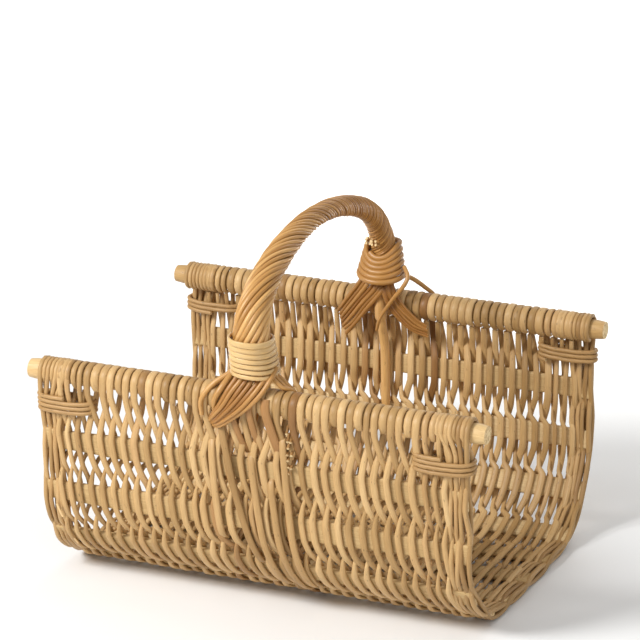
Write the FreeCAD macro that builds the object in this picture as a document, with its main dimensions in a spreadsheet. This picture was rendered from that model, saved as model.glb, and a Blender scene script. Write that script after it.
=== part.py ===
"""Wicker log basket: a U-shaped willow weave on flat slats, hung from two rim rods,
with a roped bow handle. Millimetres, +X along the basket, -Y the front wall, +Z up.
The origin is on the floor under the middle."""
import FreeCAD, Part
import math
import os
import Sketcher

Vector = FreeCAD.Vector
X_AXIS = Vector(1, 0, 0)

SIZES = {
    # rim rods
    "rod_length": 540,
    "rod_diameter": 24,
    "rod_spacing": 365,
    "rod_height": 245,
    "rod_chamfer": 2,
    # the U that the slats follow, measured at the middle of the slats
    "wall_half_width": 191,
    "floor_half_width": 86,
    "corner_radius": 101,
    "first_slat_drop": 76,
    # slats: flat laths that run the length of the basket
    "slat_length": 508,
    "slat_width": 26,
    "slat_thickness": 6,
    "slat_edge_radius": 1.5,
    # willow strands that run round the U
    "strand_pitch": 7.1,
    "strand_thickness": 4,
    "edge_pitch": 6.4,
    "hook_angle": 205,
    "lane_clearance": 0.3,
    "weave_clearance": 0.2,
    # handle
    "bow_diameter": 16,
    "bow_half_span": 186,
    "bow_height": 405,
    "bow_shoulder_height": 307,
    "bow_shoulder_radius": 80,
    "bow_bend_radius": 45,
    "bow_rim_half_width": 157,
    "bow_foot_half_width": 168,
    "bow_foot_height": 109,
    "roping_diameter": 5.6,
    "roping_turns": 4.5,
    "roping_clearance": 0.8,
    "roping_start_height": 289,
    # whippings at the two feet of the handle
    "whipping_base_height": 270,
    "whipping_top_height": 317,
    "whipping_base_half_width": 28.5,
    "whipping_base_half_depth": 26,
    "whipping_top_half_width": 24,
    "whipping_top_half_depth": 19.5,
    "whipping_thickness": 3,
    # tails: rod ends that leave a whipping over the rim. Near and far are the X of the
    # first rod at its two ends, hang is how far it turns past the top of the rim rod
    "tail_diameter": 4.6,
    "tail_clearance": 0.6,
    "tail_start_turn": 32,
    "front_left_tail_near": -2,
    "front_left_tail_far": -36,
    "front_left_tail_hang": 210,
    "front_right_tail_near": 6,
    "front_right_tail_far": 20,
    "front_right_tail_hang": 160,
    "back_left_tail_near": -15,
    "back_left_tail_far": -45,
    "back_left_tail_hang": 170,
    "back_right_tail_near": 15,
    "back_right_tail_far": 45,
    "back_right_tail_hang": 170,
    "cross_rod_near": 44,
    "cross_rod_far": 16,
    "cross_rod_start_turn": 30,
    "cross_rod_hang": 120,
    # lashings round the strands at the ends of the walls
    "lashing_diameter": 4.8,
    "lashing_drop": 36,
    "lashing_pitch": 5.4,
}
COUNTS = {
    "slats": 11,
    "edge_strands": 8,
    "field_groups": 14,
    "strands_per_group": 4,
    "roping_rods": 11,
    "front_left_tail_rods": 6,
    "front_right_tail_rods": 3,
    "back_left_tail_rods": 6,
    "back_right_tail_rods": 5,
    "front_lashing_turns": 3,
    "back_lashing_turns": 2,
}
ROPING_STEPS = 16        # straight runs in one turn of a roping rod
TAIL_STEPS = 16          # straight runs in one tail rod
SLAT_NAMES = ["upper", "middle", "corner", "lower_corner", "floor"]


def write_sheet(doc):
    """Put every size and count in a spreadsheet cell with its own alias."""
    sheet = doc.addObject("Spreadsheet::Sheet", "Sizes")
    for row, (name, value) in enumerate({**SIZES, **COUNTS}.items(), start=1):
        sheet.set(f"A{row}", name)
        sheet.set(f"B{row}", str(value))
        sheet.setAlias(f"B{row}", name)
    doc.recompute()
    return sheet


doc = FreeCAD.newDocument("log_basket")
sheet = write_sheet(doc)
parts = []


def size(name):
    """A size as the sheet holds it."""
    return float(sheet.get(name))


def count(name):
    return int(sheet.get(name))


# ---------------------------------------------------------------- the U and its stations

ROD_RADIUS = size("rod_diameter") / 2
STRAND_REACH = size("slat_thickness") / 2 + size("weave_clearance") + size("strand_thickness")
STRAND_OFFSET = STRAND_REACH - size("strand_thickness") / 2
HOOK_RADIUS = ROD_RADIUS + size("weave_clearance") + size("strand_thickness") / 2
FLOOR_LEVEL = STRAND_REACH
CORNER_CENTRE = Vector(0, size("floor_half_width"), FLOOR_LEVEL + size("corner_radius"))
WALL_TOP = Vector(0, size("wall_half_width"), size("rod_height"))


def tangent_point(centre, radius, outside, side):
    """Where a line from the outside point touches a circle; side is +1 or -1."""
    away = outside - centre
    turn = math.acos(radius / away.Length)
    heading = math.atan2(away.z, away.y) + side * turn
    return centre + Vector(0, radius * math.cos(heading), radius * math.sin(heading))


WALL_FOOT = tangent_point(CORNER_CENTRE, size("corner_radius"), WALL_TOP, -1)
WALL_RUN = (WALL_TOP - WALL_FOOT).Length
START_ANGLE = math.atan2(WALL_FOOT.z - CORNER_CENTRE.z, WALL_FOOT.y - CORNER_CENTRE.y)
CORNER_RUN = size("corner_radius") * (math.pi / 2 + START_ANGLE)
HALF_RUN = WALL_RUN + CORNER_RUN + size("floor_half_width")


def on_half(run):
    """Point and outward normal on the +Y half of the U, at a run down from the rim."""
    if run <= WALL_RUN:
        down = (WALL_FOOT - WALL_TOP).normalize()
        return WALL_TOP + down * run, Vector(0, -down.z, down.y)
    if run <= WALL_RUN + CORNER_RUN:
        angle = START_ANGLE - (run - WALL_RUN) / size("corner_radius")
        normal = Vector(0, math.cos(angle), math.sin(angle))
        return CORNER_CENTRE + normal * size("corner_radius"), normal
    return Vector(0, HALF_RUN - run, FLOOR_LEVEL), Vector(0, 0, -1)


def slat_station(index):
    """Middle and outward normal of a slat; slats are numbered from the front rim to the back."""
    last = count("slats") - 1
    middle = last / 2
    pitch = (HALF_RUN - size("first_slat_drop")) / middle
    near = min(index, last - index)
    point, normal = on_half(size("first_slat_drop") + pitch * near)
    if index < middle:
        return Vector(0, -point.y, point.z), Vector(0, -normal.y, normal.z)
    return point, normal


# ---------------------------------------------------------------- makers

def new_body(label):
    body = doc.addObject("PartDesign::Body", label)
    body.Label = label
    parts.append(body)
    return body


def new_shape(label, shape):
    """A sub-part whose shape is worked out from the sheet by the functions below."""
    feature = doc.addObject("Part::Feature", label)
    feature.Label = label
    feature.Shape = shape
    feature.Placement = FreeCAD.Placement()
    parts.append(feature)
    return feature


def new_sketch(body, name, role):
    sketch = body.newObject("Sketcher::SketchObject", name)
    plane = [item for item in body.Origin.OriginFeatures if item.Role == role][0]
    sketch.AttachmentSupport = [(plane, "")]
    sketch.MapMode = "FlatFace"
    return sketch


def bind(sketch, constraint, expression):
    """Add a dimension to a sketch and bind it to the sheet."""
    number = sketch.addConstraint(constraint)
    sketch.setExpression(f"Constraints[{number}]", expression)


def pad_along_x(body, sketch, length):
    pad = body.newObject("PartDesign::Pad", body.Label + "_pad")
    pad.Profile = sketch
    pad.SideType = "Symmetric"
    pad.setExpression("Length", f"Sizes.{length}")
    doc.recompute()
    return pad


def bent_rod(edges, diameter):
    """A round rod along straight lines and tangent arcs, made of cylinders and ring pieces."""
    runs = []
    for edge in edges:
        start = edge.valueAt(edge.FirstParameter)
        heading = edge.tangentAt(edge.FirstParameter)
        section = Part.Face(Part.Wire([Part.Circle(start, heading, diameter / 2).toShape()]))
        if isinstance(edge.Curve, Part.Line):
            runs.append(section.extrude(heading * edge.Length))
        else:
            turn = math.degrees(edge.Length / edge.Curve.Radius)
            runs.append(section.revolve(edge.Curve.Center, edge.Curve.Axis, turn))
    return runs[0].multiFuse(runs[1:]).removeSplitter()


def mitred_rod(points, diameter):
    """A round rod through many points, as short straight runs with mitred joints."""
    path = Part.makePolygon(points)
    section = Part.Wire([Part.Circle(points[0], points[1] - points[0], diameter / 2).toShape()])
    right_corners = 1
    return path.makePipeShell([section], True, False, right_corners)


# ---------------------------------------------------------------- rim rods and slats

def make_rim_rod(label, side):
    """A peeled willow rod with its cut ends chamfered."""
    body = new_body(label)
    sketch = new_sketch(body, label + "_section", "YZ_Plane")
    sketch.addGeometry(Part.Circle(Vector(), Vector(0, 0, 1), ROD_RADIUS), False)
    sketch.addConstraint(Sketcher.Constraint("Coincident", 0, 3, -1, 1))
    bind(sketch, Sketcher.Constraint("Radius", 0, ROD_RADIUS), "Sizes.rod_diameter / 2")
    pad = pad_along_x(body, sketch, "rod_length")
    rims = [f"Edge{n}" for n, edge in enumerate(pad.Shape.Edges, start=1) if edge.Closed]
    chamfer = body.newObject("PartDesign::Chamfer", label + "_cut_ends")
    chamfer.Base = (pad, rims)
    chamfer.setExpression("Size", "Sizes.rod_chamfer")
    body.Placement.Base = Vector(0, side * size("rod_spacing") / 2, size("rod_height"))


def make_slat(label, index):
    """A flat lath with rounded long edges, lying across the strands at its station."""
    body = new_body(label)
    sketch = new_sketch(body, label + "_section", "YZ_Plane")
    across = size("slat_width") / 2
    deep = size("slat_thickness") / 2
    corners = [(-across, -deep), (across, -deep), (across, deep), (-across, deep)]
    for number, corner in enumerate(corners):
        following = corners[(number + 1) % len(corners)]
        line = Part.LineSegment(Vector(*corner, 0), Vector(*following, 0))
        sketch.addGeometry(line, False)
    for number in range(len(corners)):
        following = (number + 1) % len(corners)
        sketch.addConstraint(Sketcher.Constraint("Coincident", number, 2, following, 1))
        kind = "Vertical" if number % 2 else "Horizontal"
        sketch.addConstraint(Sketcher.Constraint(kind, number))
    sketch.addConstraint(Sketcher.Constraint("Symmetric", 0, 1, 1, 2, -1, 1))
    bind(sketch, Sketcher.Constraint("DistanceX", 0, 1, 0, 2, 2 * across), "Sizes.slat_width")
    bind(sketch, Sketcher.Constraint("DistanceY", 1, 1, 1, 2, 2 * deep), "Sizes.slat_thickness")
    pad = pad_along_x(body, sketch, "slat_length")
    long_edges = [f"Edge{n}" for n, edge in enumerate(pad.Shape.Edges, start=1)
                  if abs(edge.tangentAt(edge.FirstParameter).x) > 0.99]
    fillet = body.newObject("PartDesign::Fillet", label + "_worn_edges")
    fillet.Base = (pad, long_edges)
    fillet.setExpression("Radius", "Sizes.slat_edge_radius")
    point, normal = slat_station(index)
    body.Placement = FreeCAD.Placement(point, FreeCAD.Rotation(Vector(0, 0, -1), normal))


# ---------------------------------------------------------------- strands

def strand_line(outside_first):
    """Corner points of a strand between its two hooks, passing each slat on alternate sides."""
    points = []
    half = size("slat_width") / 2
    for index in range(count("slats")):
        middle, normal = slat_station(index)
        along = Vector(0, -normal.z, normal.y)
        outside = (index % 2 == 0) == outside_first
        passing = middle + normal * (STRAND_OFFSET if outside else -STRAND_OFFSET)
        points.append(passing - along * half)
        points.append(passing + along * half)
    return points


def offset_line(points, distance):
    """The same line moved to its left by a distance, with mitred corners."""
    moved = []
    for number, point in enumerate(points):
        before = points[number] - points[number - 1] if number > 0 else points[1] - points[0]
        after = points[number + 1] - point if number + 1 < len(points) else before
        left_before = Vector(0, -before.z, before.y).normalize()
        left_after = Vector(0, -after.z, after.y).normalize()
        bisector = (left_before + left_after).normalize()
        moved.append(point + bisector * (distance / bisector.dot(left_before)))
    return moved


def hook_arc(centre, radius, first_angle, last_angle):
    """An arc in the YZ plane between two angles."""
    def at(angle):
        return centre + Vector(0, radius * math.cos(angle), radius * math.sin(angle))
    return Part.Arc(at(first_angle), at((first_angle + last_angle) / 2), at(last_angle)).toShape()


def strand_outline(outside_first):
    """The side view of one strand: hooked over both rim rods and waved past the slats."""
    turn = -1 if outside_first else 1
    rod_middle = Vector(0, size("rod_spacing") / 2, size("rod_height"))
    front = Vector(0, -rod_middle.y, rod_middle.z)
    line = strand_line(outside_first)
    leave = tangent_point(front, HOOK_RADIUS, line[0], -turn)
    arrive = tangent_point(rod_middle, HOOK_RADIUS, line[-1], turn)
    line = [leave] + line + [arrive]
    hook = math.radians(size("hook_angle"))
    leave_angle = math.atan2(leave.z - front.z, leave.y - front.y)
    arrive_angle = math.atan2(arrive.z - rod_middle.z, arrive.y - rod_middle.y)
    half = size("strand_thickness") / 2
    edges = []
    sides = {}
    for side in (1, -1):
        radius = HOOK_RADIUS - side * turn * half
        first = hook_arc(front, radius, leave_angle - turn * hook, leave_angle)
        last = hook_arc(rod_middle, radius, arrive_angle, arrive_angle + turn * hook)
        corners = offset_line(line, side * half)
        edges += [first, last]
        edges += [Part.makeLine(a, b) for a, b in zip(corners, corners[1:])]
        sides[side] = (first, last)
    # each hook's free end is closed by a short line from its inner arc to its outer arc
    edges.append(Part.makeLine(sides[1][0].firstVertex().Point, sides[-1][0].firstVertex().Point))
    edges.append(Part.makeLine(sides[1][1].lastVertex().Point, sides[-1][1].lastVertex().Point))
    return Part.Wire(Part.sortEdges(edges)[0])


def strand_lanes():
    """X of each strand's middle and its width, left to right, with a gap for the lashings."""
    field = count("field_groups") * count("strands_per_group")
    edge = count("edge_strands")
    lashing_gap = size("lashing_diameter") + 2 * size("lane_clearance")
    half_field = field * size("strand_pitch") / 2
    right_edge = [half_field + lashing_gap + (n + 0.5) * size("edge_pitch") for n in range(edge)]
    middle = [-half_field + (n + 0.5) * size("strand_pitch") for n in range(field)]
    narrow = size("edge_pitch") - size("lane_clearance")
    wide = size("strand_pitch") - size("lane_clearance")
    lanes = [(-x, narrow) for x in reversed(right_edge)]
    lanes += [(x, wide) for x in middle]
    lanes += [(x, narrow) for x in right_edge]
    return lanes


def make_strands():
    """Every strand is a separate solid; neighbours pass the slats on opposite sides."""
    faces = [Part.Face(strand_outline(True)), Part.Face(strand_outline(False))]
    lanes = strand_lanes()
    edge = count("edge_strands")
    group = count("strands_per_group")
    names = {"left_edge_strands": range(edge)}
    for number in range(count("field_groups")):
        first = edge + number * group
        names[f"field_strands_{number + 1:02d}"] = range(first, first + group)
    names["right_edge_strands"] = range(len(lanes) - edge, len(lanes))
    for label, members in names.items():
        solids = []
        for number in members:
            middle, width = lanes[number]
            solid = faces[number % 2].extrude(X_AXIS * width)
            solid.translate(X_AXIS * (middle - width / 2))
            solids.append(solid)
        new_shape(label, Part.makeCompound(solids))


# ---------------------------------------------------------------- handle

def bow_pieces():
    """Half of the bow's middle line on the +Y side, as lines and tangent arcs, foot to top.

    Each piece is its start, its end and, for an arc, a point between them."""
    span = size("bow_half_span")
    bend = size("bow_bend_radius")
    shoulder = size("bow_shoulder_radius")
    shoulder_height = size("bow_shoulder_height")
    pieces = []

    def bend_pair(inner, outer, top):
        """Two equal arcs that carry an upright line from one half width to the other."""
        shift = abs(outer - inner)
        direction = 1 if outer > inner else -1
        turn = math.acos(1 - shift / (2 * bend))
        middle = Vector(0, (inner + outer) / 2, top - bend * math.sin(turn))
        bottom = Vector(0, inner, top - 2 * bend * math.sin(turn))
        half = turn / 2
        low = bottom + Vector(0, direction * bend * (1 - math.cos(half)), bend * math.sin(half))
        high = Vector(0, outer - direction * bend * (1 - math.cos(half)),
                      top - bend * math.sin(half))
        return [(bottom, low, middle), (middle, high, Vector(0, outer, top))]

    above_rim = bend_pair(size("bow_rim_half_width"), span, shoulder_height)
    rim_foot = above_rim[0][0]
    under_rim = bend_pair(size("bow_foot_half_width"), size("bow_rim_half_width"),
                          rim_foot.z - bend / 6)
    foot = Vector(0, size("bow_foot_half_width"), size("bow_foot_height"))
    pieces.append((foot, None, under_rim[0][0]))
    pieces += under_rim
    pieces.append((under_rim[1][2], None, rim_foot))
    pieces += above_rim

    # the shoulder arc and the flatter top arc share a tangent where they meet
    inset = span - shoulder
    rise = size("bow_height") - shoulder_height
    drop = rise - shoulder
    reach = (inset ** 2 + drop ** 2) / (2 * drop)
    top_radius = reach + shoulder
    half_angle = math.asin(inset / reach)
    shoulder_middle = Vector(0, inset, shoulder_height)
    top_middle = Vector(0, 0, size("bow_height") - top_radius)
    meet_angle = math.pi / 2 - half_angle

    def at(centre, radius, angle):
        return centre + Vector(0, radius * math.cos(angle), radius * math.sin(angle))
    pieces.append((at(shoulder_middle, shoulder, 0),
                   at(shoulder_middle, shoulder, meet_angle / 2),
                   at(shoulder_middle, shoulder, meet_angle)))
    pieces.append((at(top_middle, top_radius, meet_angle),
                   at(top_middle, top_radius, math.pi / 2 - half_angle / 2),
                   at(top_middle, top_radius, math.pi / 2)))
    return pieces


def mirrored(point):
    return None if point is None else Vector(point.x, -point.y, point.z)


def bow_line():
    """The whole middle line of the bow, from the front foot over the top to the back foot."""
    half = bow_pieces()
    front = [tuple(mirrored(point) for point in piece) for piece in half]
    back = [piece[::-1] for piece in reversed(half)]
    edges = []
    for start, between, end in front + back:
        if between is None:
            edges.append(Part.makeLine(start, end))
        else:
            edges.append(Part.Arc(start, between, end).toShape())
    return Part.Wire(edges)


def make_bow():
    """The stout rod inside the handle; its feet go down inside the walls."""
    new_shape("handle_bow", bent_rod(bow_line().Edges, size("bow_diameter")))


def bow_frame(line, distance):
    """Point, heading and inward direction of the bow's middle line at a distance along it."""
    left = distance
    for edge in line.Edges:
        if left <= edge.Length or edge.isSame(line.Edges[-1]):
            parameter = edge.getParameterByLength(min(left, edge.Length))
            point = edge.valueAt(parameter)
            heading = edge.tangentAt(parameter)
            return point, heading, X_AXIS.cross(heading)
        left -= edge.Length


def distance_at_height(line, height):
    """How far along the front leg of the bow a height is reached."""
    low = 0.0
    high = line.Length / 2
    while high - low > 0.01:
        middle = (low + high) / 2
        if bow_frame(line, middle)[0].z < height:
            low = middle
        else:
            high = middle
    return low


def make_roping():
    """Thin rods laid side by side and twisted round the bow from one whipping to the other."""
    line = bow_line()
    start = distance_at_height(line, size("roping_start_height"))
    run = line.Length - 2 * start
    rods = count("roping_rods")
    ring = (size("bow_diameter") + size("roping_diameter")) / 2 + size("roping_clearance")
    steps = int(ROPING_STEPS * size("roping_turns"))
    solids = []
    for rod in range(rods):
        points = []
        for step in range(steps + 1):
            point, heading, inward = bow_frame(line, start + run * step / steps)
            angle = 2 * math.pi * (rod / rods + size("roping_turns") * step / steps)
            points.append(point + inward * ring * math.cos(angle) + X_AXIS * ring * math.sin(angle))
        solids.append(mitred_rod(points, size("roping_diameter")))
    new_shape("handle_roping", Part.makeCompound(solids))


# ---------------------------------------------------------------- whippings, tails, lashings

def bind_width(sketch, kind, line, axis, width, expression):
    """Bind the length of a construction line whichever way round its ends lie."""
    first, second = (getattr(sketch.getPoint(line, end), axis) for end in (1, 2))
    start, end = (1, 2) if first < second else (2, 1)
    bind(sketch, Sketcher.Constraint(kind, line, start, line, end, width), expression)


def sleeve_section(body, name, height, half_width, half_depth, middle, inset):
    """An ellipse across the handle at a height, drawn smaller by the inset."""
    sketch = new_sketch(body, name, "XY_Plane")
    sketch.AttachmentOffset = FreeCAD.Placement(Vector(0, middle, 0), FreeCAD.Rotation())
    sketch.setExpression("AttachmentOffset.Base.z", f"Sizes.{height}")
    major = size(half_width) - inset
    minor = size(half_depth) - inset
    ellipse = Part.Ellipse(Vector(major, 0, 0), Vector(0, minor, 0), Vector())
    sketch.addGeometry(ellipse, False)
    sketch.exposeInternalGeometry(0)
    sketch.addConstraint(Sketcher.Constraint("Coincident", 0, 3, -1, 1))
    sketch.addConstraint(Sketcher.Constraint("Horizontal", 1))
    less = "" if inset == 0 else " - Sizes.whipping_thickness"
    bind_width(sketch, "DistanceX", 1, "x", 2 * major, f"2 * (Sizes.{half_width}{less})")
    bind_width(sketch, "DistanceY", 2, "y", 2 * minor, f"2 * (Sizes.{half_depth}{less})")
    return sketch


def make_whipping(label, side):
    """The binding round the foot of the handle, as a leaning sleeve on top of the rim."""
    body = new_body(label)
    line = bow_line()

    def bow_side(height):
        return side * -bow_frame(line, distance_at_height(line, size(height)))[0].y

    base = bow_side("whipping_base_height") + side * size("bow_diameter") / 2
    top = bow_side("whipping_top_height")
    for name, kind, inset in (("sleeve", "PartDesign::AdditiveLoft", 0),
                              ("hollow", "PartDesign::SubtractiveLoft",
                               size("whipping_thickness"))):
        low = sleeve_section(body, f"{label}_{name}_base", "whipping_base_height",
                             "whipping_base_half_width", "whipping_base_half_depth", base, inset)
        high = sleeve_section(body, f"{label}_{name}_top", "whipping_top_height",
                              "whipping_top_half_width", "whipping_top_half_depth", top, inset)
        loft = body.newObject(kind, f"{label}_{name}")
        loft.Profile = low
        loft.Sections = [high]
        doc.recompute()


def over_rim(x, side, turn, layer):
    """A point on the strands round a rim rod, at a turn in degrees from the top of the rod.

    A positive turn goes outwards and a negative one into the basket; past a quarter turn
    the same length carries straight on down."""
    radius = HOOK_RADIUS + size("strand_thickness") / 2 + size("tail_clearance")
    radius += size("tail_diameter") * (layer + 0.5)
    held = math.radians(min(max(turn, -90), 90))
    down = radius * (abs(math.radians(turn)) - abs(held))
    return Vector(x, side * (size("rod_spacing") / 2 + radius * math.sin(held)),
                  size("rod_height") + radius * math.cos(held) - down)


def round_the_rim(side, layer, near, far, first_turn, last_turn):
    """Points of a rod that goes slantwise round a rim rod, from near to far along X."""
    points = []
    for step in range(TAIL_STEPS + 1):
        share = step / TAIL_STEPS
        turn = first_turn + (last_turn - first_turn) * share
        points.append(over_rim(near + (far - near) * share, side, turn, layer))
    return points


def make_tail(label, side, way):
    """Rod ends side by side, from a whipping slantwise over the rim.

    way is +1 where they go down outside the wall and -1 where they go down inside it."""
    near = size(label + "_near")
    far = size(label + "_far")
    first_turn = way * size("tail_start_turn")
    last_turn = way * size(label + "_hang")
    radius = over_rim(0, 0, 0, 0).z - size("rod_height")
    slope = abs(far - near) / (radius * math.radians(abs(last_turn - first_turn)))
    step_aside = (size("tail_diameter") + size("lane_clearance")) * math.hypot(1, slope)
    sideways = math.copysign(step_aside, far - near)
    solids = []
    for rod in range(count(label + "_rods")):
        aside = sideways * rod
        points = round_the_rim(side, 0, near + aside, far + aside, first_turn, last_turn)
        solids.append(mitred_rod(points, size("tail_diameter")))
    new_shape(label, Part.makeCompound(solids))


def make_cross_rod():
    """The single rod that comes off the back whipping and crosses over the right-hand tail."""
    points = round_the_rim(1, 1, size("cross_rod_near"), size("cross_rod_far"),
                           -size("cross_rod_start_turn"), -size("cross_rod_hang"))
    new_shape("handle_cross_rod", mitred_rod(points, size("tail_diameter")))


def rounded_loop(centre, half_x, half_y, radius):
    """The edges of a level rectangle with rounded corners."""
    edges = []
    for quarter in range(4):
        angle = quarter * math.pi / 2
        turned = FreeCAD.Rotation(Vector(0, 0, 1), math.degrees(angle))
        long, short = (half_x, half_y) if quarter % 2 == 0 else (half_y, half_x)
        lean = radius * (1 - math.cos(math.pi / 4))
        side_start = Vector(long, -short + radius, 0)
        corner_start = Vector(long, short - radius, 0)
        corner_middle = Vector(long - lean, short - lean, 0)
        corner_end = Vector(long - radius, short, 0)
        at = [centre + turned * point
              for point in (side_start, corner_start, corner_middle, corner_end)]
        edges.append(Part.makeLine(at[0], at[1]))
        edges.append(Part.Arc(at[1], at[2], at[3]).toShape())
    return edges


def make_lashing(label, side, end):
    """Turns of thin rod round the strands at one end of a wall, just under the rim."""
    turns = count("front_lashing_turns" if side < 0 else "back_lashing_turns")
    middle, normal = on_half(size("lashing_drop"))
    middle = Vector(0, side * middle.y, middle.z)
    half_wall = STRAND_REACH + size("lashing_diameter") + size("lane_clearance")
    lanes = strand_lanes()
    beside = size("lane_clearance") + size("lashing_diameter") / 2
    last_x, last_width = lanes[-1]
    outer = last_x + last_width / 2 + beside
    field_x, field_width = lanes[-1 - count("edge_strands")]
    inner = field_x + field_width / 2 + beside
    centre = Vector(end * (inner + outer) / 2, middle.y - side * STRAND_OFFSET, middle.z)
    solids = []
    for turn in range(turns):
        drop = (turn - (turns - 1) / 2) * size("lashing_pitch")
        loop = rounded_loop(centre - Vector(0, 0, drop), (outer - inner) / 2, half_wall,
                            size("lashing_diameter"))
        solids.append(bent_rod(loop, size("lashing_diameter")))
    new_shape(label, Part.makeCompound(solids))


# ---------------------------------------------------------------- assembly

make_rim_rod("front_rim_rod", -1)
make_rim_rod("back_rim_rod", 1)
for slat_index in range(count("slats")):
    near = min(slat_index, count("slats") - 1 - slat_index)
    if near == (count("slats") - 1) / 2:
        slat_label = "floor_middle_slat"
    else:
        wall = "front" if slat_index == near else "back"
        slat_label = f"{wall}_{SLAT_NAMES[near]}_slat"
    make_slat(slat_label, slat_index)
make_strands()
make_bow()
make_roping()
make_whipping("front_whipping", -1)
make_whipping("back_whipping", 1)
make_tail("front_left_tail", -1, 1)
make_tail("front_right_tail", -1, 1)
make_tail("back_left_tail", 1, -1)
make_tail("back_right_tail", 1, -1)
make_cross_rod()
make_lashing("front_left_lashing", -1, -1)
make_lashing("front_right_lashing", -1, 1)
make_lashing("back_left_lashing", 1, -1)
make_lashing("back_right_lashing", 1, 1)
doc.recompute()


# ---------------------------------------------------------------- checks and files

def check_document():
    for item in doc.Objects:
        if "Invalid" in item.State or "Error" in item.State:
            raise RuntimeError(f"{item.Label} did not compute: {item.State}")
    for part in parts:
        if part.Shape.isNull() or not part.Shape.isValid():
            raise RuntimeError(f"{part.Label} has no valid shape")
        if not part.Shape.Solids or part.Shape.Volume <= 0:
            raise RuntimeError(f"{part.Label} has no solid")


check_document()
os.makedirs("parts", exist_ok=True)
for part in parts:
    part.Shape.exportStep(f"parts/{part.Label}.step")
    box = part.Shape.BoundBox
    print(f"{part.Label:24s} solids {len(part.Shape.Solids):3d} volume {part.Shape.Volume:10.0f} "
          f"y {box.YMin:7.1f} {box.YMax:7.1f} z {box.ZMin:7.2f} {box.ZMax:7.2f}")
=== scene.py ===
# %% [markdown]
# # A willow log basket
# The basket is laid up the way a maker works: two rim rods, eleven flat slats, then split
# willow strands woven round the U in twisted pairs, and last a roped handle. Almost every
# piece is a rod or a strip that follows a path, so one Geometry Nodes tool lays them all.

import math
import bpy
import numpy as np
from mathutils import Matrix, Vector


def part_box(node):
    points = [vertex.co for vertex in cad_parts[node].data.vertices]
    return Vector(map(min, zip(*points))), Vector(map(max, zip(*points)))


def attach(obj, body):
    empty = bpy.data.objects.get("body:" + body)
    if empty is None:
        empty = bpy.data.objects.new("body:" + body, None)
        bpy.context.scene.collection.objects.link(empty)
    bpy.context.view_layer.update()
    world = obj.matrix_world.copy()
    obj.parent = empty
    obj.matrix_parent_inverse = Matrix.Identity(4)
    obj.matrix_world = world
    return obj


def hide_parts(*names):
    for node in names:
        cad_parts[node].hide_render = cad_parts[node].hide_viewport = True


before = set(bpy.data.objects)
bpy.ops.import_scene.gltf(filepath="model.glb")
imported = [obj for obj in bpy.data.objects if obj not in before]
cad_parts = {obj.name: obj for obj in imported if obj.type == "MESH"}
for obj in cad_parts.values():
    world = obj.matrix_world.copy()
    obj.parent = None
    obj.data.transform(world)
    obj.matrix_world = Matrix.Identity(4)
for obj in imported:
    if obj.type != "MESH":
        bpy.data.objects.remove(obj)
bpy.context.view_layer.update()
MM = 0.001

# %% [markdown]
# ## Measures
# The rim rods, slats and bow stand where the frame holds them, so their sizes are read from
# its boxes. The side view of the weave is a U: a wall that leans in a little, a round corner
# and a flat floor. A place on the basket is then a run along that U and an X across it.

# %% Read the rods, the slats and the bow
rod_low, rod_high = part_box("back_rim_rod")
ROD_LENGTH = rod_high[0] - rod_low[0]
ROD_RADIUS = (rod_high[2] - rod_low[2]) / 2
ROD_Y = (rod_high[1] + rod_low[1]) / 2
ROD_Z = (rod_high[2] + rod_low[2]) / 2
slat_low, slat_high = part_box("floor_middle_slat")
SLAT_LENGTH = slat_high[0] - slat_low[0]
SLAT_WIDTH = slat_high[1] - slat_low[1]
SLAT_THICKNESS = slat_high[2] - slat_low[2]
FLOOR_Z = (slat_high[2] + slat_low[2]) / 2
bow_low, bow_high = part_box("handle_bow")
BOW_RADIUS = (bow_high[0] - bow_low[0]) / 2
WEAVE_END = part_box("right_edge_strands")[1][0]
print(f"rods {ROD_LENGTH:.3f} long, {2 * ROD_Y:.3f} apart; weave to {WEAVE_END:.4f}")

# %% The U that the slats follow
WALL_HALF_WIDTH = 191 * MM      # at the rim
FLOOR_HALF_WIDTH = 86 * MM
CORNER_RADIUS = 101 * MM
FIRST_SLAT_RUN = 76 * MM
SLATS = 11
CORNER_CENTRE = np.array([FLOOR_HALF_WIDTH, FLOOR_Z + CORNER_RADIUS])
WALL_TOP = np.array([WALL_HALF_WIDTH, ROD_Z])


def wall_foot():
    """Where the leaning wall runs into the round corner."""
    away = WALL_TOP - CORNER_CENTRE
    distance = np.hypot(*away)
    heading = math.atan2(away[1], away[0]) - math.acos(CORNER_RADIUS / distance)
    foot = CORNER_CENTRE + CORNER_RADIUS * np.array([math.cos(heading), math.sin(heading)])
    return foot, heading


WALL_FOOT, CORNER_START = wall_foot()
WALL_RUN = float(np.hypot(*(WALL_TOP - WALL_FOOT)))
CORNER_RUN = CORNER_RADIUS * (math.pi / 2 + CORNER_START)
HALF_RUN = WALL_RUN + CORNER_RUN + FLOOR_HALF_WIDTH
SLAT_PITCH = (HALF_RUN - FIRST_SLAT_RUN) / ((SLATS - 1) / 2)


def on_the_u(run):
    """Y, Z and the outward direction at a run from the front rim down and up to the back rim."""
    side = -1 if run <= HALF_RUN else 1
    near = run if side < 0 else 2 * HALF_RUN - run
    if near <= WALL_RUN:
        down = (WALL_FOOT - WALL_TOP) / WALL_RUN
        place = WALL_TOP + down * near
        out = np.array([-down[1], down[0]])
    elif near <= WALL_RUN + CORNER_RUN:
        angle = CORNER_START - (near - WALL_RUN) / CORNER_RADIUS
        out = np.array([math.cos(angle), math.sin(angle)])
        place = CORNER_CENTRE + CORNER_RADIUS * out
    else:
        place = np.array([HALF_RUN - near, FLOOR_Z])
        out = np.array([0.0, -1.0])
    return np.array([side * place[0], place[1]]), np.array([side * out[0], out[1]])


def basket_point(run, outward, across):
    """A point in space from its run, its distance outside the slats' middle and its X."""
    place, out = on_the_u(run)
    spot = place + out * outward
    return np.array([across, spot[0], spot[1]])


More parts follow.
